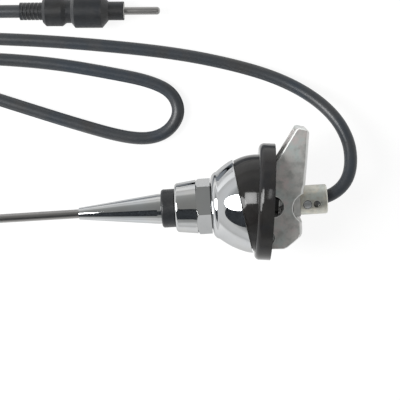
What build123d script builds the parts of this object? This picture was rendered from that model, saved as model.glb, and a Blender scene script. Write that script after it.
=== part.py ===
from build123d import *
import math
import os

# A car mast aerial lying on a flat surface.  The head axis is X, the mast runs toward -X, the
# cable leaves toward +X, and the peak of the claw points to +Y.  Lengths in mm, angles in degrees.

# panel side
flangeR = 22.5
flangeT = 6.1
flangeEdgeR = 2.0
flangeTilt = 6.1          # flange normal against the head axis
spigotR = 6.9
spigotLen = 2.2
domeR = 18.7
pivotX = -5.8             # centre of the dome, on the head axis
wedgeTilt = 9.1           # normal of the oblique face against the head axis
wedgeDist = 5.4           # oblique face above the centre of the dome
sealR = 13.5
sealWireR = 0.9

# fits
runGap = 0.05
moveGap = 0.3

# swivel head
bellR = 19.35
bellWall = 1.6
bellArcX = -11.0
bellFlankX = -20.95
bellFlankR = 13.0
bellBulge = 0.55          # flank stands this far outside its chord
bellEndX = -23.15
bellEndR = 10.5
bellBoreR = 6.9
bellBack = 2.0            # bell runs on past the pivot before the oblique cut
lipAlong = 0.62           # fullness of the rounded lip
lipIn = 0.3
linerT = 4.5
washerT = 0.3
washerR = 8.9
hexAcross = 19.0
hexTurn = 38.9            # turn of a hexagon corner from +Y toward +Z
hexX = -29.0
hexChamfer = 1.2
hexChamferRun = 0.72
coneR = 10.4
coneEndR = 9.35
coneEndX = -37.3
coneEdgeR = 1.2
capNeckR = 6.6
capNeckX = -19.0
collarR = 7.4
collarEndX = -42.6
collarEdgeR = 0.9
shankR = 5.6
shankX = -30.3
rodR = 3.5
rodTopR = 2.4
rodTopX = -34.5
rodNeckR = 1.9
rodNeckX = -14.0
ballR = 3.4
feedR = 0.5
feedSleeveR = 1.1
feedShort = 0.35          # feed ends this far inside the ball
socketR = 3.8
socketX = -35.5
socketDepthX = -36.8

# mast
studR = 2.5
studX = -50.0
ferruleR = 5.8
ferruleEndR = 2.3
ferruleEndX = -74.7
ferruleLand = 1.5
mastR = 1.75
mastEndR = 1.1
mastFootX = -56.0
mastEndX = -930.0
tipGrip = 9.0             # the tip covers this much of the rod
tipNose = 14.0
tipR = 2.7
tipNeckR = 1.9
tipTaper = 3.0
tipEdgeR = 2.4

# stem, claw and sleeve
stemR = 5.0
stemTopX = -9.8
stemStepX = 5.0
threadR = 4.0
stemEndX = 15.0
ballBoreX = -1.0
coreR = 1.6
coreTopX = 0.2
plungerR = 1.2
plungerX = -2.0
plungerEdgeR = 0.95
clawHalf = 8.35
clawSheet = 1.8
clawFoldR = 1.5
clawOutline = [
    (3.3, 17.7), (10.5, 28.2), (11.4, 28.4), (14.3, 27.6), (15.05, 26.6), (13.75, 15.9), (12.55, 7.0),
    (11.9, 5.3), (10.5, -8.1), (10.55, -10.2), (10.4, -11.7), (9.9, -12.6), (4.5, -16.6),
    (3.2, -17.1), (-1.5, -16.9), (2.0, 16.0),
]
saddleAt = (13.1, -2.0)   # round cut-out in the web edge of both cheeks
saddleR = 5.75
spigotCutAt = (0.0, -0.7)  # half-round cut-out in the panel edge of both cheeks
spigotCutR = 3.9
heelCutAt = (-3.3, -12.3)  # shallow round cut-out lower on the panel edge
heelCutR = 3.1
foldFromX = 9.9           # reach of the folds along the claw
foldLowY = -12.2
foldHighY = 26.4
seatX = 7.7
seatMidY = 0.35
seatLen = 11.1
sleeveX = 10.3
sleeveEndX = 20.9
sleeveR = 5.65
sleeveEdge = 0.35
screwTurn = 11.5          # screws look up, a little toward -Y
pinX = 13.2
pinR = 1.75
grubX = 16.75
grubR = 1.4
grubLen = 0.55
grubSlot = 0.45
bushEndX = 18.2

# cable and plug
cableR = 2.5
crossRise = 3.28          # lift of a crossing, in cable radii
plugX = -93.0
plugY = 79.0
plugTurn = -3.5
plugLead = 14.0           # straight lead of cable into the plug
plugRelief = 9.0
reliefR = 3.4
reliefGrooveR = 2.9
reliefRibs = 5
reliefRibPart = 0.7
plugRearR = 5.8
plugRearEdge = 1.2
plugRearEnd = 16.5
plugWaistR = 4.6
plugWaistX = 18.0
plugWaistEnd = 20.0
plugR = 6.5
plugFrontX = 21.5
plugFrontEnd = 32.0
plugNeckR = 3.6
plugNeckX = 34.5
plugLen = 40.5
plugRingR = 3.0
plugRingT = 2.0
plugPinR = 1.5
plugPinLen = 14.0
plugPinEdgeR = 1.2
plugShankR = 1.2
plugShank = 12.0

# the aerial rests on the rim of its flange and on the tip of its mast
tipRest = 2.0
tipRestX = mastEndX - tipRest
rimRestX = -4.0
leanSin = (flangeR - tipR) / (-tipRestX + rimRestX)
lean = math.degrees(math.asin(leanSin))
floorZ = -flangeR * math.cos(math.radians(lean)) + rimRestX * leanSin
lay = Rot(0, -lean, 0)


def turned(*profile):
    """Solid of revolution about X from (x, radius) corners."""
    return revolve(make_face(Polyline(*profile, close=True)), Axis.X)


def bar(radius, x0, x1):
    """Round bar along X."""
    return turned((x0, 0), (x1, 0), (x1, radius), (x0, radius))


def tube(outer, inner, x0, x1):
    """Round tube along X."""
    return turned((x0, inner), (x1, inner), (x1, outer), (x0, outer))


def slab(plane, radius, start, length):
    """Round slab on a plane, from start along its normal."""
    return plane * Pos(0, 0, start) * Cylinder(radius, length, align=(Align.CENTER, Align.CENTER, Align.MIN))


pivot = Vector(pivotX, 0, 0)
tiltF = math.radians(flangeTilt)
tiltW = math.radians(wedgeTilt)
flangeDir = Vector(-math.cos(tiltF), math.sin(tiltF), 0)
wedgeDir = Vector(-math.cos(tiltW), -math.sin(tiltW), 0)
flangePlane = Plane(origin=(0, 0, 0), x_dir=(0, 0, 1), z_dir=flangeDir)
wedgePlane = Plane(origin=pivot + wedgeDir * wedgeDist, x_dir=(0, 0, 1), z_dir=wedgeDir)
far = 60.0

# base moulding: flange, dome with an oblique face, spigot for the panel hole
flange = Cylinder(flangeR, flangeT, align=(Align.CENTER, Align.CENTER, Align.MIN))
flange = fillet(flange.edges().group_by(Axis.Z)[-1], flangeEdgeR)
dome = Pos(pivotX, 0, 0) * Sphere(domeR)
dome -= slab(wedgePlane, far, 0, far)
dome -= slab(flangePlane, far, flangeT / 2 - far, far)
sealGroove = slab(wedgePlane, sealR + sealWireR, -2 * sealWireR, 3 * sealWireR)
sealGroove -= slab(wedgePlane, sealR - sealWireR, -3 * sealWireR, 5 * sealWireR)
baseDome = flangePlane * flange + dome + slab(flangePlane, spigotR, -spigotLen, spigotLen)
baseDome -= bar(stemR + moveGap, -far, far)
baseDome -= sealGroove
domeSeal = wedgePlane * Pos(0, 0, -sealWireR) * Torus(sealR, sealWireR)

# chrome bell over the dome, with its liner riding on the oblique face


def bellSolid(radius, flank, end):
    """Turned bell: arc about the pivot, full flank, rounded lip and end face."""
    arcR = math.sqrt(radius**2 - (bellArcX - pivotX) ** 2)
    backX = pivotX + bellBack
    backR = math.sqrt(radius**2 - (backX - pivotX) ** 2)
    midX = (bellArcX + backX) / 2
    midR = math.sqrt(radius**2 - (midX - pivotX) ** 2)
    lipX = flank[0] + lipAlong * (end[0] - flank[0])
    lipR = flank[1] + lipIn * (end[1] - flank[1])
    arc = ThreePointArc((backX, backR), (midX, midR), (bellArcX, arcR))
    run = Vector(flank[0] - bellArcX, flank[1] - arcR)
    bulgeX = bellArcX + run.X / 2 + bellBulge * run.Y / run.length
    bulgeR = arcR + run.Y / 2 - bellBulge * run.X / run.length
    side = ThreePointArc((bellArcX, arcR), (bulgeX, bulgeR), flank)
    lip = ThreePointArc(flank, (lipX, lipR), end)
    face = Polyline(end, (end[0], 0), (backX, 0), (backX, backR))
    return revolve(make_face(Curve() + [arc, side, lip, face]), Axis.X)


bellInR = bellR - bellWall
bellOuter = bellSolid(bellR, (bellFlankX, bellFlankR), (bellEndX, bellEndR))
bellInner = bellSolid(bellInR, (bellFlankX + 0.5 * bellWall, bellFlankR - bellWall),
                      (bellEndX + bellWall, bellEndR - bellWall))
bellCover = bellOuter - slab(wedgePlane, far, moveGap - far, far)
bellCover = bellCover - bellInner - bar(bellBoreR, bellEndX - 1, bellFlankX + 1)
bellLiner = bellInner & slab(wedgePlane, far, runGap, linerT)
bellLiner -= bar(rodR + 2 * runGap, -far, far)
capWasher = tube(washerR, bellBoreR, bellEndX - washerT, bellEndX)

# hexagon cap with a conical end, turning on the draw rod
capFaceX = bellEndX - washerT - runGap
hexPlane = Plane(origin=(hexX, 0, 0), x_dir=(0, 1, 0), z_dir=(1, 0, 0))
hexagon = RegularPolygon(hexAcross / 2, 6, major_radius=False, rotation=hexTurn)
hexBar = hexPlane * extrude(hexagon, capFaceX - hexX)
hexCornerR = hexAcross / math.sqrt(3)
hexBar &= turned((hexX, 0), (hexX, hexCornerR - hexChamfer), (hexX + hexChamferRun, hexCornerR),
                 (capFaceX, hexCornerR), (capFaceX, 0))
cone = turned((coneEndX, 0), (coneEndX, coneEndR), (hexX, coneR), (hexX, 0))
cone = fillet(cone.edges().group_by(Axis.X)[0], coneEdgeR)
hexCap = hexBar + cone + bar(capNeckR, capFaceX, capNeckX)
hexCap -= bar(shankR + moveGap, coneEndX - 1, shankX + moveGap)
hexCap -= bar(rodR + runGap, shankX, capNeckX + 1)

# insulating collar, socket for the mast, draw rod with its ball
mastCollar = turned((collarEndX, socketR), (collarEndX, collarR), (coneEndX - moveGap, collarR),
                    (coneEndX - moveGap, shankR), (shankX, shankR), (shankX, rodTopR), (rodTopX, rodTopR),
                    (rodTopX, feedR), (socketX, feedR), (socketX, socketR))
collarRim = mastCollar.edges().filter_by(GeomType.CIRCLE).group_by(Axis.X)[0].sort_by(SortBy.RADIUS)[-1]
mastCollar = fillet(collarRim, collarEdgeR)
mastSocket = tube(socketR, studR + runGap, collarEndX + moveGap, socketDepthX)
mastSocket += bar(socketR, socketDepthX, socketX)
drawRod = turned((rodTopX, 0), (rodTopX, rodTopR), (shankX, rodTopR), (shankX, rodR), (rodNeckX, rodR),
                 (rodNeckX, rodNeckR), (pivotX, rodNeckR), (pivotX, 0))
drawRod += Pos(pivotX, 0, 0) * Sphere(ballR)
drawRod -= bar(feedSleeveR, rodTopX - 1, far)
feedEndX = pivotX + ballR - feedShort
feedSleeve = tube(feedSleeveR, feedR, rodTopX, feedEndX)
feedWire = bar(feedR, socketX, feedEndX)

# mast: threaded stud, tapered ferrule, rod and tip
tipX = mastEndX + tipGrip
tipEndX = mastEndX - tipNose
ferruleX = collarEndX - runGap
mastStud = bar(studR, studX, socketDepthX - moveGap)
mastFerrule = turned((ferruleX, studR), (ferruleX, ferruleR), (ferruleX - ferruleLand, ferruleR),
                     (ferruleEndX, ferruleEndR), (ferruleEndX, mastR), (mastFootX, mastR), (mastFootX, 0),
                     (studX, 0), (studX, studR))
mastRod = turned((mastEndX, 0), (mastEndX, mastEndR), (tipX, mastEndR), (ferruleEndX, mastR),
                 (mastFootX, mastR), (mastFootX, 0))
mastTip = turned((tipX, mastEndR), (tipX, tipNeckR), (tipX - tipTaper, tipR), (tipEndX, tipR),
                 (tipEndX, 0), (mastEndX, 0), (mastEndX, mastEndR))
mastTip = fillet(mastTip.edges().filter_by(GeomType.CIRCLE).group_by(Axis.X)[0], tipEdgeR)

# stem with the bore for the ball, coaxial core and sprung contact inside it
stem = turned((stemTopX, ballR + runGap), (stemTopX, stemR), (stemStepX, stemR), (stemStepX, threadR),
              (stemEndX, threadR), (stemEndX, coreR), (ballBoreX, coreR), (ballBoreX, ballR + runGap))
coaxCore = bar(coreR, coreTopX, stemEndX)
contactPlunger = bar(plungerR, plungerX, coreTopX)
contactPlunger = fillet(contactPlunger.edges().group_by(Axis.X)[0], plungerEdgeR)

# folded claw: two cheeks joined by a web on the cable side
clawFace = make_face(Polyline(*clawOutline, close=True))
claw = extrude(clawFace, clawHalf, both=True)
foldEdges = [
    edge for edge in claw.edges().filter_by(GeomType.LINE)
    if abs(edge.length) > 1 and abs(abs(edge.center().Z) - clawHalf) < 0.01
    and edge.center().X > foldFromX and foldLowY < edge.center().Y < foldHighY
]
claw = fillet(foldEdges, clawFoldR)
claw -= Pos(-clawSheet, 0, 0) * extrude(clawFace, clawHalf - clawSheet, both=True)
claw -= Pos(*saddleAt, 0) * Cylinder(saddleR, 2 * far)
claw -= Pos(*spigotCutAt, 0) * Cylinder(spigotCutR, 2 * far)
claw -= Pos(*heelCutAt, 0) * Cylinder(heelCutR, 2 * far)
seatW = 2 * (clawHalf - clawSheet)
claw += Pos((seatX + sleeveX) / 2, seatMidY, 0) * Box(sleeveX - seatX, seatLen, seatW)
claw -= bar(threadR + moveGap, -far, far)
claw -= bar(sleeveR + moveGap, sleeveX, far)

# cable route: plan position and height of the centre line above the floor
low = cableR
high = crossRise * cableR
cablePlan = [
    (31.6, 13.5, 19.2), (31.2, 21.5, 16.0), (27.0, 30.5, 12.0), (18.5, 39.0, 7.6), (6.0, 46.5, 4.2),
    (-10.0, 52.5, low), (-32.0, 58.5, low), (-60.0, 63.5, low), (-92.0, 68.0, low), (-125.0, 71.0, low),
    (-155.0, 71.5, low), (-182.0, 69.0, low), (-210.0, 63.5, low), (-238.0, 56.0, low),
    (-262.0, 48.5, low), (-282.0, 43.5, low), (-299.0, 44.5, low), (-312.0, 50.5, 4.2),
    (-318.5, 60.5, 6.4), (-317.5, 70.5, high), (-310.0, 81.5, high), (-297.0, 88.5, 6.2),
    (-277.0, 90.0, 3.2), (-252.0, 88.0, low), (-228.0, 83.5, 4.2), (-206.0, 78.5, high),
    (-184.0, 73.5, high), (-162.0, 67.0, high), (-141.0, 59.5, 5.0), (-120.0, 51.0, low),
    (-96.0, 41.5, low), (-74.0, 33.0, low), (-57.0, 27.0, low), (-46.0, 25.5, low), (-38.0, 28.5, low),
    (-33.5, 35.5, low), (-36.0, 43.5, low), (-44.5, 48.5, low), (-59.0, 52.5, low), (-82.0, 58.0, low),
    (-106.0, 61.5, low), (-127.0, 63.2, 5.0), (-147.0, 67.5, high), (-166.0, 74.5, high),
    (-187.0, 81.5, high), (-209.0, 87.5, 5.0), (-233.0, 92.0, low), (-260.0, 95.5, low),
    (-287.0, 97.3, low), (-312.0, 97.5, low), (-329.5, 97.2, low), (-336.0, 91.0, low),
    (-336.0, 82.0, low), (-329.5, 75.5, low), (-313.0, 75.3, low), (-290.0, 77.5, low),
    (-266.0, 78.8, low), (-241.0, 78.2, low), (-216.0, 76.6, low), (-192.0, 76.2, low),
    (-168.0, 77.8, low), (-145.0, 80.0, low), (-124.0, 80.8, 4.0),
    (plugX - plugLead, plugY - plugLead * math.tan(math.radians(plugTurn)), plugR), (plugX, plugY, plugR),
]
cableStart = [(stemEndX, 0), (19.2, 0), (25.4, 2.5), (29.6, 7.0)]
cableLift = [0, 0, -0.3, -1.2]
cablePoints = []
for (x, y), lift in zip(cableStart, cableLift):
    cablePoints.append((lay * Pos(x, y, lift)).position)
for x, y, height in cablePlan:
    cablePoints.append(Vector(x, y, floorZ + height))

bendFactor = 0.45
cableRadii = []
for before, here, after in zip(cablePoints, cablePoints[1:], cablePoints[2:]):
    turnAngle = (here - before).get_angle(after - here)
    shorter = min((here - before).length, (after - here).length)
    cableRadii.append(bendFactor * shorter / math.tan(math.radians(turnAngle) / 2))
cablePath = FilletPolyline(*cablePoints, radius=cableRadii)
cableSection = Plane(origin=cablePath @ 0, z_dir=cablePath % 0) * Circle(cableR)
coaxCable = sweep(cableSection, path=cablePath)
print("cable length mm", round(cablePath.length, 1), "smallest bend radius mm", round(min(cableRadii), 1))
cableFill = coaxCable.volume / (math.pi * cableR**2 * cablePath.length)
print("cable volume over section times length", round(cableFill, 4))

# sleeve over the end of the stem, flush pin, grub screw on the cable bush
clampSleeve = tube(sleeveR, threadR, sleeveX, sleeveEndX)
clampSleeve = chamfer(clampSleeve.edges().filter_by(GeomType.CIRCLE).sort_by(SortBy.RADIUS)[-2:], sleeveEdge)


def radial(radius, x, r0, r1):
    """Round bar standing on the axis at x, turned to where the screws look."""
    stand = Cylinder(radius, r1 - r0, align=(Align.CENTER, Align.CENTER, Align.MIN))
    return Pos(x, 0, 0) * Rot(screwTurn, 0, 0) * Pos(0, 0, r0) * stand


clampSleeve -= radial(pinR, pinX, 0, far) + radial(grubR, grubX, 0, far)
clampPin = radial(pinR, pinX, 0, far) & tube(sleeveR, threadR, sleeveX, sleeveEndX)
grubTopR = threadR + grubLen  # its foot bears on the bush
grubScrew = radial(grubR, grubX, 0, far) & tube(grubTopR, threadR, sleeveX, sleeveEndX)
slotBox = Box(grubSlot, far, grubSlot, align=(Align.CENTER, Align.CENTER, Align.MAX))
grubScrew -= Pos(grubX, 0, 0) * Rot(screwTurn, 0, 0) * Pos(0, 0, grubTopR) * slotBox
cableBush = bar(threadR, stemEndX, bushEndX) - (lay.inverse() * coaxCable)

# plug: strain relief, moulded body, front ring and pin
plugAt = Pos(plugX, plugY, floorZ + plugR) * Rot(0, 0, plugTurn)
ribPitch = plugRelief / (reliefRibs + 1)
reliefProfile = [(0, 0), (0, reliefR)]
for rib in range(reliefRibs):
    reliefProfile.append(((rib + reliefRibPart) * ribPitch, reliefR))
    reliefProfile.append(((rib + reliefRibPart) * ribPitch, reliefGrooveR))
    reliefProfile.append(((rib + 1) * ribPitch, reliefGrooveR))
    reliefProfile.append(((rib + 1) * ribPitch, reliefR))
plugReliefBody = turned(*reliefProfile, (plugRelief, reliefR), (plugRelief, 0))
ringX = plugLen - plugRingT
shankEndX = plugLen - plugShank
rearX = plugRelief + plugRearEdge
plugBody = turned((plugRelief, 0), (plugRelief, plugRearR - plugRearEdge), (rearX, plugRearR),
                  (plugRearEnd, plugRearR), (plugWaistX, plugWaistR), (plugWaistEnd, plugWaistR),
                  (plugFrontX, plugR), (plugFrontEnd, plugR), (plugNeckX, plugNeckR), (plugLen, plugNeckR),
                  (plugLen, plugRingR), (ringX, plugRingR), (ringX, plugShankR), (shankEndX, plugShankR),
                  (shankEndX, 0))
plugRing = tube(plugRingR, plugShankR, ringX, plugLen)
plugPin = bar(plugShankR, shankEndX, plugLen) + bar(plugPinR, plugLen, plugLen + plugPinLen)
plugPin = fillet(plugPin.edges().group_by(Axis.X)[-1], plugPinEdgeR)

os.makedirs("parts", exist_ok=True)
nodes = {
    "base_dome": lay * baseDome,
    "dome_seal": lay * domeSeal,
    "bell_cover": lay * bellCover,
    "bell_liner": lay * bellLiner,
    "cap_washer": lay * capWasher,
    "hex_cap": lay * hexCap,
    "mast_collar": lay * mastCollar,
    "mast_socket": lay * mastSocket,
    "draw_rod": lay * drawRod,
    "feed_sleeve": lay * feedSleeve,
    "feed_wire": lay * feedWire,
    "mast_stud": lay * mastStud,
    "mast_ferrule": lay * mastFerrule,
    "mast_rod": lay * mastRod,
    "mast_tip": lay * mastTip,
    "stem": lay * stem,
    "coax_core": lay * coaxCore,
    "contact_plunger": lay * contactPlunger,
    "claw": lay * claw,
    "clamp_sleeve": lay * clampSleeve,
    "clamp_pin": lay * clampPin,
    "grub_screw": lay * grubScrew,
    "cable_bush": lay * cableBush,
    "coax_cable": coaxCable,
    "plug_relief": plugAt * plugReliefBody,
    "plug_body": plugAt * plugBody,
    "plug_ring": plugAt * plugRing,
    "plug_pin": plugAt * plugPin,
}
for name, shape in nodes.items():
    export_step(shape, f"parts/{name}.step")
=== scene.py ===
import bpy
import bmesh
import math
from mathutils import Matrix, Vector


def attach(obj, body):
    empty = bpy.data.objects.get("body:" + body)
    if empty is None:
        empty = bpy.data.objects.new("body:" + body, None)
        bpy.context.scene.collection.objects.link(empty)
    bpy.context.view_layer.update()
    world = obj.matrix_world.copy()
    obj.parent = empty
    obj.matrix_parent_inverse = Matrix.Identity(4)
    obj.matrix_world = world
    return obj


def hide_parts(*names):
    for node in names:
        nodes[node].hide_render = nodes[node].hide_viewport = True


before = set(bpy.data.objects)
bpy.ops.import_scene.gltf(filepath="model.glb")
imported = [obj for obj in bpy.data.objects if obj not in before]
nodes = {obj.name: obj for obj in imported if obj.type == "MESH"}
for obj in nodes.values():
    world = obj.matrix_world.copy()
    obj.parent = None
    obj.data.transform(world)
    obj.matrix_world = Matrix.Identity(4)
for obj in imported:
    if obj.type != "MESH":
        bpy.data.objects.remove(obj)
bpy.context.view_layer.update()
scene = bpy.context.scene
scene.view_settings.view_transform = "Standard"
print("frame loaded,", len(nodes), "nodes")


# node groups shared by the finishes

mottleTones = {  # share of the scale, shift of the noise, and the span of it over which the tone comes in
    "Warm": {"share": 1.0, "shift": 0.0, "low": 0.42, "high": 0.66},
    "Cool": {"share": 0.8, "shift": 3.1, "low": 0.44, "high": 0.68},
    "Dull": {"share": 1.7, "shift": 7.7, "low": 0.42, "high": 0.72},
}
mottleNoise = {"detail": 4.0, "roughness": 0.6}
grainNoise = {"fineDetail": 3.0, "lineDetail": 2.0, "low": 0.3, "high": 0.7}


def newGroup(name, inputs, outputs):
    group = bpy.data.node_groups.new(name, "ShaderNodeTree")
    for label, kind, value in inputs:
        socket = group.interface.new_socket(label, in_out="INPUT", socket_type=kind)
        socket.default_value = value
    for label, kind in outputs:
        group.interface.new_socket(label, in_out="OUTPUT", socket_type=kind)
    return group, group.nodes.new("NodeGroupInput"), group.nodes.new("NodeGroupOutput")


def node(tree, kind, **settings):
    made = tree.nodes.new(kind)
    for key, value in settings.items():
        setattr(made, key, value)
    return made


def rampOf(tree, stops):
    ramp = tree.nodes.new("ShaderNodeValToRGB")
    ramp.color_ramp.elements[0].position, ramp.color_ramp.elements[0].color = stops[0]
    ramp.color_ramp.elements[1].position, ramp.color_ramp.elements[1].color = stops[-1]
    for place, colour in stops[1:-1]:
        ramp.color_ramp.elements.new(place).color = colour
    return ramp


def makePlateMottle():
    group, source, sink = newGroup(
        "plateMottle",
        [("Scale", "NodeSocketFloat", 90.0), ("Base", "NodeSocketColor", (0.5, 0.5, 0.5, 1)),
         ("Warm", "NodeSocketColor", (0.5, 0.5, 0.5, 1)), ("Cool", "NodeSocketColor", (0.5, 0.5, 0.5, 1)),
         ("Dull", "NodeSocketColor", (0.4, 0.4, 0.4, 1))],
        [("Colour", "NodeSocketColor")])
    link = group.links.new
    coords = group.nodes.new("ShaderNodeTexCoord")
    last = source.outputs["Base"]
    for label, tone in mottleTones.items():
        size = node(group, "ShaderNodeMath", operation="MULTIPLY")
        size.inputs[1].default_value = tone["share"]
        link(source.outputs["Scale"], size.inputs[0])
        shift = node(group, "ShaderNodeVectorMath", operation="ADD")
        shift.inputs[1].default_value = (tone["shift"], -tone["shift"], 0.5 * tone["shift"])
        link(coords.outputs["Object"], shift.inputs[0])
        cloud = group.nodes.new("ShaderNodeTexNoise")
        cloud.inputs["Detail"].default_value = mottleNoise["detail"]
        cloud.inputs["Roughness"].default_value = mottleNoise["roughness"]
        link(shift.outputs[0], cloud.inputs["Vector"])
        link(size.outputs[0], cloud.inputs["Scale"])
        mask = node(group, "ShaderNodeMapRange", interpolation_type="SMOOTHSTEP")
        mask.inputs["From Min"].default_value = tone["low"]
        mask.inputs["From Max"].default_value = tone["high"]
        link(cloud.outputs["Fac"], mask.inputs["Value"])
        mix = node(group, "ShaderNodeMix", data_type="RGBA")
        link(mask.outputs[0], mix.inputs[0])
        link(last, mix.inputs[6])
        link(source.outputs[label], mix.inputs[7])
        last = mix.outputs[2]
    link(last, sink.inputs["Colour"])
    return group


def spreadGrain(group, source, sink, cloud):  # noise to a roughness between two limits, and a height
    link = group.links.new
    link(source.outputs["Scale"], cloud.inputs["Scale"])
    spread = group.nodes.new("ShaderNodeMapRange")
    spread.inputs["From Min"].default_value = grainNoise["low"]
    spread.inputs["From Max"].default_value = grainNoise["high"]
    link(cloud.outputs["Fac"], spread.inputs["Value"])
    link(source.outputs["Smooth"], spread.inputs["To Min"])
    link(source.outputs["Rough"], spread.inputs["To Max"])
    link(spread.outputs[0], sink.inputs["Roughness"])
    link(cloud.outputs["Fac"], sink.inputs["Height"])


def makeFineGrain():
    group, source, sink = newGroup(
        "fineGrain",
        [("Scale", "NodeSocketFloat", 900.0), ("Smooth", "NodeSocketFloat", 0.3),
         ("Rough", "NodeSocketFloat", 0.5)],
        [("Roughness", "NodeSocketFloat"), ("Height", "NodeSocketFloat")])
    coords = group.nodes.new("ShaderNodeTexCoord")
    cloud = group.nodes.new("ShaderNodeTexNoise")
    cloud.inputs["Detail"].default_value = grainNoise["fineDetail"]
    group.links.new(coords.outputs["Object"], cloud.inputs["Vector"])
    spreadGrain(group, source, sink, cloud)
    return group


def makeDrawnLines():
    group, source, sink = newGroup(
        "drawnLines",
        [("Stretch", "NodeSocketVector", (1.0, 1.0, 1.0)), ("Scale", "NodeSocketFloat", 900.0),
         ("Smooth", "NodeSocketFloat", 0.2), ("Rough", "NodeSocketFloat", 0.4)],
        [("Roughness", "NodeSocketFloat"), ("Height", "NodeSocketFloat")])
    link = group.links.new
    coords = group.nodes.new("ShaderNodeTexCoord")
    stretch = node(group, "ShaderNodeVectorMath", operation="MULTIPLY")
    link(coords.outputs["Object"], stretch.inputs[0])
    link(source.outputs["Stretch"], stretch.inputs[1])
    cloud = group.nodes.new("ShaderNodeTexNoise")
    cloud.inputs["Detail"].default_value = grainNoise["lineDetail"]
    link(stretch.outputs[0], cloud.inputs["Vector"])
    spreadGrain(group, source, sink, cloud)
    return group


# faces mix towards an edge colour by their wear value: painted highlight or painted shade on the broken
# edges, partly edge wear
def makeEdgeWearAndPaintedLight():
    group, source, sink = newGroup(
        "edgeWearAndPaintedLight",
        [("Colour", "NodeSocketColor", (0.5, 0.5, 0.5, 1)), ("Edge", "NodeSocketColor", (0.8, 0.8, 0.8, 1)),
         ("Roughness", "NodeSocketFloat", 0.4), ("EdgeRough", "NodeSocketFloat", 0.25),
         ("Metallic", "NodeSocketFloat", 0.9), ("EdgeMetallic", "NodeSocketFloat", 0.4)],
        [("Colour", "NodeSocketColor"), ("Roughness", "NodeSocketFloat"), ("Metallic", "NodeSocketFloat")])
    link = group.links.new
    wornAndPaintedEdge = node(group, "ShaderNodeAttribute", attribute_name="wearAndPaintedLight")
    colour = node(group, "ShaderNodeMix", data_type="RGBA")
    link(wornAndPaintedEdge.outputs["Fac"], colour.inputs[0])
    link(source.outputs["Colour"], colour.inputs[6])
    link(source.outputs["Edge"], colour.inputs[7])
    link(colour.outputs[2], sink.inputs["Colour"])
    for plain, edge in (("Roughness", "EdgeRough"), ("Metallic", "EdgeMetallic")):
        level = node(group, "ShaderNodeMix", data_type="FLOAT")
        link(wornAndPaintedEdge.outputs["Fac"], level.inputs[0])
        link(source.outputs[plain], level.inputs[2])
        link(source.outputs[edge], level.inputs[3])
        link(level.outputs[0], sink.inputs[plain])
    return group


plateMottle = makePlateMottle()
fineGrain = makeFineGrain()
drawnLines = makeDrawnLines()
edgeWearAndPaintedLight = makeEdgeWearAndPaintedLight()
print("shared effects made")


# finishes

bumpDepth = {"grain": 0.0002, "lines": 0.0001}


def startFinish(name, colour, metallic, rough):
    finish = bpy.data.materials.new(name)
    finish.use_nodes = True
    tree = finish.node_tree
    shader = tree.nodes["Principled BSDF"]
    shader.inputs["Base Color"].default_value = (*colour, 1)
    shader.inputs["Metallic"].default_value = metallic
    shader.inputs["Roughness"].default_value = rough
    finish.diffuse_color = (*colour, 1)
    return finish, tree, shader


def addGroup(tree, group, **values):
    made = tree.nodes.new("ShaderNodeGroup")
    made.node_tree = group
    for key, value in values.items():
        made.inputs[key].default_value = value
    return made


def addBump(tree, shader, height, strength, distance):
    bump = tree.nodes.new("ShaderNodeBump")
    bump.inputs["Strength"].default_value = strength
    bump.inputs["Distance"].default_value = distance
    tree.links.new(height, bump.inputs["Height"])
    tree.links.new(bump.outputs[0], shader.inputs["Normal"])


def mottledFinish(name, values):
    finish, tree, shader = startFinish(name, values["base"], values["metallic"], values["rough"])
    mottle = addGroup(tree, plateMottle, Scale=values["scale"], Base=(*values["base"], 1),
                      Warm=(*values["warm"], 1), Cool=(*values["cool"], 1), Dull=(*values["dull"], 1))
    grain = addGroup(tree, fineGrain, Scale=values["grain"], Smooth=values["smooth"], Rough=values["rough"])
    colour, rough = mottle.outputs["Colour"], grain.outputs["Roughness"]
    # the edge colour is painted highlight or painted shade on the broken edges, partly edge wear
    if "edge" in values:
        wornAndPaintedEdge = addGroup(tree, edgeWearAndPaintedLight, Edge=(*values["edge"], 1), EdgeRough=values["edgeRough"],
                        Metallic=values["metallic"], EdgeMetallic=values["edgeMetallic"])
        tree.links.new(colour, wornAndPaintedEdge.inputs["Colour"])
        tree.links.new(rough, wornAndPaintedEdge.inputs["Roughness"])
        colour, rough = wornAndPaintedEdge.outputs["Colour"], wornAndPaintedEdge.outputs["Roughness"]
        tree.links.new(wornAndPaintedEdge.outputs["Metallic"], shader.inputs["Metallic"])
    tree.links.new(colour, shader.inputs["Base Color"])
    tree.links.new(rough, shader.inputs["Roughness"])
    if "shine" in values:
        shader.inputs["Specular IOR Level"].default_value = values["shine"]
    if "limb" in values:
        shader.inputs["Specular Tint"].default_value = (*values["limb"], 1)  # mirror at grazing angles
    addBump(tree, shader, grain.outputs["Height"], values["bump"], bumpDepth["grain"])
    return finish


def drawnFinish(name, values):
    finish, tree, shader = startFinish(name, values["base"], 1.0, values["rough"])
    lines = addGroup(tree, drawnLines, Stretch=values["stretch"], Scale=values["grain"],
                     Smooth=values["smooth"], Rough=values["rough"])
    tree.links.new(lines.outputs["Roughness"], shader.inputs["Roughness"])
    addBump(tree, shader, lines.outputs["Height"], values["bump"], bumpDepth["lines"])
    return finish


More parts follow.
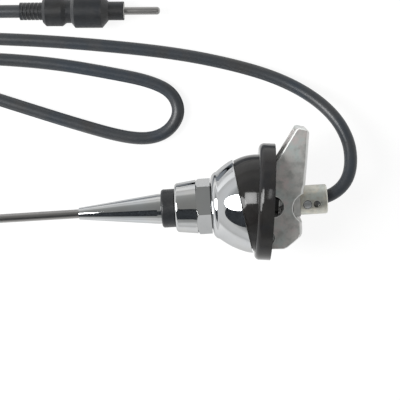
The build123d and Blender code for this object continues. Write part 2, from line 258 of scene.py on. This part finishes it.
chromeLook = {"base": (0.60, 0.61, 0.62), "warm": (0.60, 0.60, 0.59), "cool": (0.58, 0.60, 0.62),
              "dull": (0.55, 0.56, 0.57), "metallic": 1.0, "scale": 60.0, "grain": 240.0,
              "smooth": 0.015, "rough": 0.045, "bump": 0.01, "limb": (0.7, 0.7, 0.7)}
# the claw's pale edge colour is a painted highlight on its broken edges and folds, partly edge wear
clawLook = {"base": (0.71, 0.695, 0.675), "warm": (0.78, 0.67, 0.665), "cool": (0.64, 0.71, 0.70),
            "dull": (0.49, 0.495, 0.48), "metallic": 0.75, "scale": 150.0, "grain": 1500.0,
            "smooth": 0.30, "rough": 0.44, "bump": 0.12, "edge": (0.93, 0.94, 0.93), "edgeRough": 0.45,
            "edgeMetallic": 0.2}
# the sleeve's pale edge colour is a painted highlight on its broken edges, partly edge wear
sleeveLook = {"base": (0.60, 0.59, 0.53), "warm": (0.65, 0.61, 0.52), "cool": (0.55, 0.59, 0.56),
              "dull": (0.47, 0.465, 0.42), "metallic": 0.9, "scale": 300.0, "grain": 1500.0,
              "smooth": 0.28, "rough": 0.42, "bump": 0.12, "edge": (0.86, 0.86, 0.80), "edgeRough": 0.4,
              "edgeMetallic": 0.6}
# the pin's dark edge colour is painted shade: a dark ring in the groove between the pin and the sleeve
pinLook = {"base": (0.44, 0.45, 0.46), "warm": (0.48, 0.46, 0.44), "cool": (0.41, 0.44, 0.47),
           "dull": (0.34, 0.35, 0.36), "metallic": 0.9, "scale": 400.0, "grain": 1500.0,
           "smooth": 0.30, "rough": 0.44, "bump": 0.1, "edge": (0.12, 0.12, 0.12), "edgeRough": 0.5,
           "edgeMetallic": 0.9}
screwLook = {"base": (0.21, 0.21, 0.21), "warm": (0.24, 0.22, 0.20), "cool": (0.18, 0.20, 0.22),
             "dull": (0.14, 0.14, 0.14), "metallic": 0.9, "scale": 300.0, "grain": 1500.0,
             "smooth": 0.28, "rough": 0.42, "bump": 0.08}
brassLook = {"base": (0.72, 0.53, 0.24), "warm": (0.76, 0.52, 0.25), "cool": (0.66, 0.52, 0.28),
             "dull": (0.5, 0.38, 0.18), "metallic": 1.0, "scale": 200.0, "grain": 1200.0,
             "smooth": 0.22, "rough": 0.36, "bump": 0.05}
glossLook = {"base": (0.0105, 0.010, 0.0098), "warm": (0.013, 0.0115, 0.011),
             "cool": (0.0095, 0.010, 0.012), "dull": (0.015, 0.0145, 0.014),
             "metallic": 0.0, "scale": 70.0, "grain": 500.0, "smooth": 0.07, "rough": 0.12, "bump": 0.02,
             "shine": 0.3}
satinLook = {"base": (0.014, 0.0155, 0.018), "warm": (0.017, 0.0165, 0.017), "cool": (0.012, 0.015, 0.020),
             "dull": (0.020, 0.021, 0.023), "metallic": 0.0, "scale": 110.0, "grain": 1400.0,
             "smooth": 0.34, "rough": 0.5, "bump": 0.12}
jacketLook = {"base": (0.035, 0.040, 0.046), "warm": (0.041, 0.041, 0.042), "cool": (0.031, 0.040, 0.052),
              "dull": (0.046, 0.048, 0.052), "metallic": 0.0, "scale": 60.0, "grain": 1200.0,
              "smooth": 0.3, "rough": 0.44, "bump": 0.06}
rubberLook = {"base": (0.016, 0.016, 0.016), "warm": (0.02, 0.019, 0.018), "cool": (0.014, 0.015, 0.017),
              "dull": (0.03, 0.03, 0.03), "metallic": 0.0, "scale": 150.0, "grain": 1800.0,
              "smooth": 0.6, "rough": 0.8, "bump": 0.1}
nylonLook = {"base": (0.76, 0.75, 0.70), "warm": (0.78, 0.75, 0.68), "cool": (0.74, 0.75, 0.73),
             "dull": (0.68, 0.67, 0.62), "metallic": 0.0, "scale": 150.0, "grain": 1200.0,
             "smooth": 0.38, "rough": 0.5, "bump": 0.05}
mastLook = {"base": (0.36, 0.352, 0.346), "stretch": (0.02, 1.0, 1.0), "grain": 2600.0,
            "smooth": 0.24, "rough": 0.40, "bump": 0.04}
turnedLook = {"base": (0.55, 0.55, 0.54), "stretch": (1.0, 0.03, 0.03), "grain": 3000.0,
              "smooth": 0.2, "rough": 0.4, "bump": 0.06}

chrome = mottledFinish("chromePlate", chromeLook)
clawZinc = mottledFinish("clawZinc", clawLook)
sleeveZinc = mottledFinish("sleeveZinc", sleeveLook)
pinSteel = mottledFinish("pinSteel", pinLook)
screwBlack = mottledFinish("screwBlack", screwLook)
brass = mottledFinish("turnedBrass", brassLook)
baseGloss = mottledFinish("baseGloss", glossLook)
collarSatin = mottledFinish("collarSatin", satinLook)
leadJacket = mottledFinish("leadJacket", jacketLook)
sealRubber = mottledFinish("sealRubber", rubberLook)
nylon = mottledFinish("naturalNylon", nylonLook)
mastSteel = drawnFinish("mastSteel", mastLook)
turnedSteel = drawnFinish("turnedSteel", turnedLook)

nodeFinish = {
    "base_dome": baseGloss, "dome_seal": sealRubber, "bell_cover": chrome, "bell_liner": nylon,
    "cap_washer": collarSatin, "hex_cap": chrome, "mast_collar": collarSatin, "mast_socket": brass,
    "draw_rod": turnedSteel, "feed_sleeve": nylon, "feed_wire": brass, "mast_stud": turnedSteel,
    "mast_ferrule": chrome, "mast_rod": mastSteel, "mast_tip": collarSatin, "stem": turnedSteel,
    "coax_core": nylon, "contact_plunger": brass, "claw": clawZinc, "clamp_sleeve": sleeveZinc,
    "clamp_pin": pinSteel, "grub_screw": screwBlack, "cable_bush": brass, "coax_cable": leadJacket,
    "plug_relief": collarSatin, "plug_body": collarSatin, "plug_ring": nylon, "plug_pin": mastSteel,
}
for name, finish in nodeFinish.items():
    nodes[name].data.materials.clear()
    nodes[name].data.materials.append(finish)
print("finishes on", len(nodeFinish), "nodes")


# edges broken by plating and tumbling: copies of the CAD meshes with rounded edges, widths in mm; their wear
# values paint highlight and shade on the faces, partly edge wear

edgeBreak = {
    "claw": {"body": "clamp", "slot": "zinc_steel", "width": 0.36, "segments": 3, "sharp": 24.0, "wearAndPaintedLight": 1.0,
             "fold": 0.7, "cut": 0.15, "inside": 0.25, "top": 0.4, "outer": 7.9},
    "hex_cap": {"body": "cap", "slot": "chrome", "width": 0.04, "segments": 2, "sharp": 24.0},
    "clamp_sleeve": {"body": "clamp", "slot": "zinc_steel", "width": 0.12, "segments": 2, "sharp": 30.0,
                     "wearAndPaintedLight": 0.6},
    "clamp_pin": {"body": "clamp", "slot": "zinc_steel", "width": 0.25, "segments": 2, "sharp": 40.0,
                  "wearAndPaintedLight": 0.9},
    "bell_cover": {"body": "head", "slot": "chrome", "width": 0.04, "segments": 2, "sharp": 40.0},
}
edgeRules = {"merge": 0.002, "flat": 0.5,  # mm, degrees
             "topUp": 0.7, "cutSide": 0.2, "foldBack": 0.3, "foldSide": 0.25,  # parts of a face's normal
             "insideUp": 0.5, "insideBelow": 7.5}


def softened(name, values):
    bm = bmesh.new()
    bm.from_mesh(nodes[name].data)
    bmesh.ops.remove_doubles(bm, verts=bm.verts, dist=0.001 * edgeRules["merge"])
    bmesh.ops.dissolve_limit(bm, angle_limit=math.radians(edgeRules["flat"]), verts=bm.verts, edges=bm.edges)
    bmesh.ops.recalc_face_normals(bm, faces=bm.faces)
    wearAndPaintedLight = bm.faces.layers.float.new("wearAndPaintedLight")
    limit = math.radians(values["sharp"])
    outer = 0.001 * values.get("outer", 0.0)  # edges this far from the middle plane only
    sharp = [edge for edge in bm.edges if edge.is_manifold and edge.calc_face_angle() > limit
             and abs(edge.verts[0].co.z + edge.verts[1].co.z) >= 2 * outer]
    made = bmesh.ops.bevel(bm, geom=sharp, offset=0.001 * values["width"], offset_type="OFFSET",
                           affect="EDGES", segments=values["segments"], profile=0.5, material=-1,
                           clamp_overlap=False)
    bm.normal_update()
    for face in made["faces"]:
        # up-facing edge faces get less of the pale edge colour: painted shade on the top of the claw
        onTop = face.normal.y > edgeRules["topUp"]
        face[wearAndPaintedLight] = values.get("wearAndPaintedLight", 0.0) * (values.get("top", 1.0) if onTop else 1.0)
    inside = 0.001 * edgeRules["insideBelow"]
    for face in bm.faces:
        side = abs(face.normal.z)
        if side < edgeRules["cutSide"]:  # sheared edges of the sheet: lighter by painted light, and duller
            face[wearAndPaintedLight] = max(face[wearAndPaintedLight], values.get("cut", 0.0))
        if face.normal.x > edgeRules["foldBack"] and side > edgeRules["foldSide"]:  # painted highlight on the folds
            face[wearAndPaintedLight] = max(face[wearAndPaintedLight], values.get("fold", 0.0))
        if face.normal.z > edgeRules["insideUp"] and face.calc_center_median().z < inside:  # painted light on the shaded faces between the cheeks
            face[wearAndPaintedLight] = max(face[wearAndPaintedLight], values.get("inside", 0.0))
    mesh = bpy.data.meshes.new(name + "Soft")
    bm.to_mesh(mesh)
    bm.free()
    mesh.shade_smooth()
    mesh.set_sharp_from_angle(angle=limit)
    mesh.materials.append(nodeFinish[name])
    piece = bpy.data.objects.new(name + "Soft", mesh)
    scene.collection.objects.link(piece)
    even = piece.modifiers.new("evenNormals", "WEIGHTED_NORMAL")
    even.keep_sharp = True
    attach(piece, values["body"])
    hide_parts(name)


for name, values in edgeBreak.items():
    softened(name, values)
print("edges broken on", len(edgeBreak), "pieces")


# lead: the route lies on the floor beside the mast, and lifts where it crosses itself

lead = {
    "radius": 0.0025, "length": 1.295, "exit": (0.0214, 0.0, 0.00046), "round": 5, "steps": 8, "order": 3,
    "route": [
        (0.01500, 0.00000, 0.00032), (0.01920, 0.00000, 0.00041), (0.02540, 0.00250, 0.00024),
        (0.02962, 0.00700, -0.00057), (0.03160, 0.01350, -0.00338), (0.03120, 0.02150, -0.00658),
        (0.02700, 0.03050, -0.01058), (0.01850, 0.03900, -0.01498), (0.00600, 0.04650, -0.01838),
        (-0.01000, 0.05250, -0.02008), (-0.03200, 0.05850, -0.02008), (-0.06000, 0.06350, -0.02008),
        (-0.09200, 0.06800, -0.02008), (-0.12500, 0.07100, -0.02008), (-0.15500, 0.07150, -0.02008),
        (-0.18200, 0.06900, -0.02008), (-0.21000, 0.06350, -0.02008), (-0.23800, 0.05600, -0.02008),
        (-0.26200, 0.04850, -0.02008), (-0.28200, 0.04350, -0.02008), (-0.29900, 0.04450, -0.02008),
        (-0.31200, 0.05050, -0.01838), (-0.31850, 0.06050, -0.01618), (-0.31750, 0.07050, -0.01438),
        (-0.31000, 0.08150, -0.01438), (-0.29700, 0.08850, -0.01638), (-0.27700, 0.09000, -0.01938),
        (-0.25200, 0.08800, -0.02008), (-0.22800, 0.08350, -0.01838), (-0.20600, 0.07850, -0.01438),
        (-0.18400, 0.07350, -0.01438), (-0.16200, 0.06700, -0.01438), (-0.14100, 0.05950, -0.01758),
        (-0.12000, 0.05100, -0.02008), (-0.09600, 0.04150, -0.02008), (-0.07400, 0.03300, -0.02008),
        (-0.05700, 0.02700, -0.02008), (-0.04600, 0.02550, -0.02008), (-0.03800, 0.02850, -0.02008),
        (-0.03350, 0.03550, -0.02008), (-0.03600, 0.04350, -0.02008), (-0.04450, 0.04850, -0.02008),
        (-0.05900, 0.05250, -0.02008), (-0.08200, 0.05800, -0.02008), (-0.10600, 0.06150, -0.02008),
        (-0.12700, 0.06320, -0.01758), (-0.14700, 0.06750, -0.01438), (-0.16600, 0.07450, -0.01438),
        (-0.18700, 0.08150, -0.01438), (-0.20900, 0.08750, -0.01758), (-0.23300, 0.09200, -0.02008),
        (-0.26000, 0.09550, -0.02008), (-0.28700, 0.09730, -0.02008), (-0.31200, 0.09750, -0.02008),
        (-0.32950, 0.09720, -0.02008), (-0.33600, 0.09100, -0.02008), (-0.33600, 0.08200, -0.02008),
        (-0.32950, 0.07550, -0.02008), (-0.31300, 0.07530, -0.02008), (-0.29000, 0.07750, -0.02008),
        (-0.26600, 0.07880, -0.02008), (-0.24100, 0.07820, -0.02008), (-0.21600, 0.07660, -0.02008),
        (-0.19200, 0.07620, -0.02008), (-0.16800, 0.07780, -0.02008), (-0.14500, 0.08000, -0.02008),
        (-0.12400, 0.08080, -0.01858), (-0.10700, 0.07986, -0.01608), (-0.09300, 0.07900, -0.01608),
    ],
}


def makeLead():
    curve = bpy.data.curves.new("leadCurve", "CURVE")
    curve.dimensions = "3D"
    curve.bevel_depth = lead["radius"]
    curve.bevel_resolution = lead["round"]
    curve.resolution_u = lead["steps"]
    curve.use_fill_caps = True
    spline = curve.splines.new("NURBS")
    spline.points.add(len(lead["route"]) - 1)
    for point, place in zip(spline.points, lead["route"]):
        point.co = (*place, 1)
    spline.order_u = lead["order"]  # after the points, or it stays straight
    spline.use_endpoint_u = True
    curve.materials.append(leadJacket)
    piece = bpy.data.objects.new("leadCable", curve)
    scene.collection.objects.link(piece)
    plug = [nodes[name] for name in ("plug_relief", "plug_body", "plug_ring", "plug_pin")]
    for shown in [piece] + plug:
        shown.visible_glossy = False  # keeps the loops of the lead out of the chrome
    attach(piece, "clamp")
    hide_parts("coax_cable")


makeLead()
print("lead laid")


# floor, lamps, world and camera

camera = {"right": -0.0278, "up": 0.00073, "distance": 0.4, "width": 0.154,  # m
          "toMast": -0.8, "toPeak": 8.5, "roll": 3.7,  # degrees
          "sensor": 36.0, "farClip": 50.0}


def cameraAxes():
    back = Vector((-math.sin(math.radians(camera["toMast"])), math.sin(math.radians(camera["toPeak"])), 0))
    back.z = math.sqrt(1 - back.length_squared)
    across = Vector((1, 0, 0))
    across = (across - back * across.dot(back)).normalized()
    upward = back.cross(across)
    turn = math.radians(camera["roll"])
    right = across * math.cos(turn) - upward * math.sin(turn)
    return right, back.cross(right), back


def makeCamera():
    right, up, back = cameraAxes()
    data = bpy.data.cameras.new("camera")
    data.sensor_width = camera["sensor"]
    data.lens = camera["sensor"] * camera["distance"] / camera["width"]
    data.clip_end = camera["farClip"]
    piece = bpy.data.objects.new("camera", data)
    scene.collection.objects.link(piece)
    place = right * camera["right"] + up * camera["up"] + back * camera["distance"]
    turn = Matrix((right, up, back)).transposed().to_4x4()
    piece.matrix_world = Matrix.Translation(place) @ turn
    scene.camera = piece


studio = {
    "floorHeight": -0.02258022,  # under the lead
    "floorSize": 3.0, "floorColour": (0.86, 0.86, 0.86), "floorSeen": 1.1, "floorCover": 0.8,
    "floorMirrored": 1.12, "floorShaded": 0.5, "paperRough": 0.9,
    "room": [(0.0, (0.70, 0.70, 0.69)), (0.12, (0.80, 0.80, 0.80)), (0.30, (0.82, 0.82, 0.81)),
             (0.44, (0.46, 0.465, 0.46)), (0.62, (0.36, 0.365, 0.355)), (1.0, (0.27, 0.272, 0.268))],
    "lamps": {  # toward is right, up and back as the camera sees it
        "softLeft": {"toward": (-0.755, 0.0, 0.656), "distance": 0.6, "size": (0.34, 0.46), "power": 4.0,
                     "spread": 180.0, "turn": 0.0, "shape": "ELLIPSE", "spares": "mast_rod"},
        "softNear": {"toward": (-0.335, 0.165, 0.928), "distance": 0.0895, "size": (0.036, 0.038),
                     "power": 0.0150, "spread": 90.0, "turn": 45.0, "shape": "RECTANGLE",
                     "only": "base_dome"},
        "softRim": {"toward": (-0.015, 0.205, 0.979), "distance": 0.0564, "size": (0.0012, 0.016),
                    "power": 0.00026, "spread": 180.0, "turn": -5.5, "shape": "ELLIPSE",
                    "only": "base_dome"},
    },
    "darkCard": {"toward": (-0.55, -0.48, 0.68), "distance": 0.66, "size": (0.84, 0.62), "turn": 47.0,
                 "colour": (0.072, 0.079, 0.088)},
    # painted shadow: a grey card on the floor beside the object, seen only in reflections
    "floorShadowCard": {"place": (-0.070, 0.040), "size": (0.17, 0.020), "colour": (0.28, 0.30, 0.33),
                  "lift": 0.0004},
    "cardSides": 48,
}


def toward(direction):
    right, up, back = cameraAxes()
    return (right * direction[0] + up * direction[1] + back * direction[2]).normalized()


def facing(direction, distance, turn=0.0):
    aim = toward(direction)
    face = aim.to_track_quat("Z", "Y").to_matrix().to_4x4()
    return Matrix.Translation(aim * distance) @ face @ Matrix.Rotation(math.radians(turn), 4, "Z")


def makeFloor():
    bm = bmesh.new()
    bmesh.ops.create_grid(bm, x_segments=1, y_segments=1, size=studio["floorSize"])
    bmesh.ops.translate(bm, vec=(0, 0, studio["floorHeight"]), verts=bm.verts)
    mesh = bpy.data.meshes.new("whiteFloor")
    bm.to_mesh(mesh)
    bm.free()
    finish, tree, shader = startFinish("whitePaper", studio["floorColour"], 0.0, studio["paperRough"])
    shader.inputs["Specular IOR Level"].default_value = 0.0
    rays = tree.nodes.new("ShaderNodeLightPath")
    white = tree.nodes.new("ShaderNodeEmission")
    white.inputs["Strength"].default_value = studio["floorSeen"]
    seen = tree.nodes.new("ShaderNodeMixShader")
    cover = node(tree, "ShaderNodeMath", operation="MULTIPLY")
    cover.inputs[1].default_value = studio["floorCover"]  # the rest of the shading is the shadow
    tree.links.new(rays.outputs["Is Camera Ray"], cover.inputs[0])
    tree.links.new(cover.outputs[0], seen.inputs[0])
    tree.links.new(shader.outputs[0], seen.inputs[1])
    tree.links.new(white.outputs[0], seen.inputs[2])
    plain = tree.nodes.new("ShaderNodeEmission")
    plain.inputs["Strength"].default_value = studio["floorMirrored"]
    mirrored = node(tree, "ShaderNodeMath", operation="MAXIMUM")
    tree.links.new(rays.outputs["Is Glossy Ray"], mirrored.inputs[0])
    tree.links.new(rays.outputs["Is Transmission Ray"], mirrored.inputs[1])
    share = node(tree, "ShaderNodeMath", operation="MULTIPLY")
    share.inputs[1].default_value = 1.0 - studio["floorShaded"]
    tree.links.new(mirrored.outputs[0], share.inputs[0])
    pick = tree.nodes.new("ShaderNodeMixShader")
    tree.links.new(share.outputs[0], pick.inputs[0])
    tree.links.new(seen.outputs[0], pick.inputs[1])
    tree.links.new(plain.outputs[0], pick.inputs[2])
    tree.links.new(pick.outputs[0], tree.nodes["Material Output"].inputs["Surface"])
    mesh.materials.append(finish)
    floor = bpy.data.objects.new("whiteFloor", mesh)
    scene.collection.objects.link(floor)


def makeRoom():
    world = bpy.data.worlds.new("softRoom")
    scene.world = world
    world.use_nodes = True
    tree = world.node_tree
    back = tree.nodes["Background"]
    coords = tree.nodes.new("ShaderNodeTexCoord")
    split = tree.nodes.new("ShaderNodeSeparateXYZ")
    ramp = rampOf(tree, [(place, (*colour, 1)) for place, colour in studio["room"]])
    rays = tree.nodes.new("ShaderNodeLightPath")
    white = node(tree, "ShaderNodeMix", data_type="RGBA")
    white.inputs[7].default_value = (1, 1, 1, 1)
    tree.links.new(coords.outputs["Generated"], split.inputs[0])
    tree.links.new(split.outputs["Z"], ramp.inputs[0])
    tree.links.new(ramp.outputs["Color"], white.inputs[6])
    tree.links.new(rays.outputs["Is Camera Ray"], white.inputs[0])
    tree.links.new(white.outputs[2], back.inputs["Color"])


def makeLamps():
    for name, values in studio["lamps"].items():
        data = bpy.data.lights.new(name, "AREA")
        data.shape = values["shape"]
        data.size, data.size_y = values["size"]
        data.energy = values["power"]
        data.spread = math.radians(values["spread"])
        lamp = bpy.data.objects.new(name, data)
        scene.collection.objects.link(lamp)
        lamp.matrix_world = facing(values["toward"], values["distance"], values["turn"])
        if "only" in values or "spares" in values:
            lit = bpy.data.collections.new(name + "Lit")
            lit.objects.link(nodes[values.get("only") or values["spares"]])
            if "spares" in values:  # else the thin mast mirrors the lamp and is lost against white
                lit.collection_objects[0].light_linking.link_state = "EXCLUDE"
            lamp.light_linking.receiver_collection = lit


def makeCard(name, place):  # seen in the chrome and the gloss only
    values = studio[name]
    bm = bmesh.new()
    bmesh.ops.create_circle(bm, cap_ends=True, segments=studio["cardSides"], radius=0.5)
    bmesh.ops.scale(bm, vec=(values["size"][0], values["size"][1], 1), verts=bm.verts)
    bmesh.ops.transform(bm, matrix=place, verts=bm.verts)
    mesh = bpy.data.meshes.new(name)
    bm.to_mesh(mesh)
    bm.free()
    finish, tree, shader = startFinish(name, values["colour"], 0.0, studio["paperRough"])
    shader.inputs["Specular IOR Level"].default_value = 0.0
    mesh.materials.append(finish)
    card = bpy.data.objects.new(name, mesh)
    scene.collection.objects.link(card)
    card.visible_camera = False
    card.visible_diffuse = False
    card.visible_shadow = False


makeCamera()
makeFloor()
makeRoom()
makeLamps()
dark, low = studio["darkCard"], studio["floorShadowCard"]
makeCard("darkCard", facing(dark["toward"], dark["distance"], dark["turn"]))
# the floor card is a painted shadow: it stands for the shade the object casts on the floor there, seen only
# in the chrome and the gloss
makeCard("floorShadowCard", Matrix.Translation((*low["place"], studio["floorHeight"] + low["lift"])))
print("studio set")
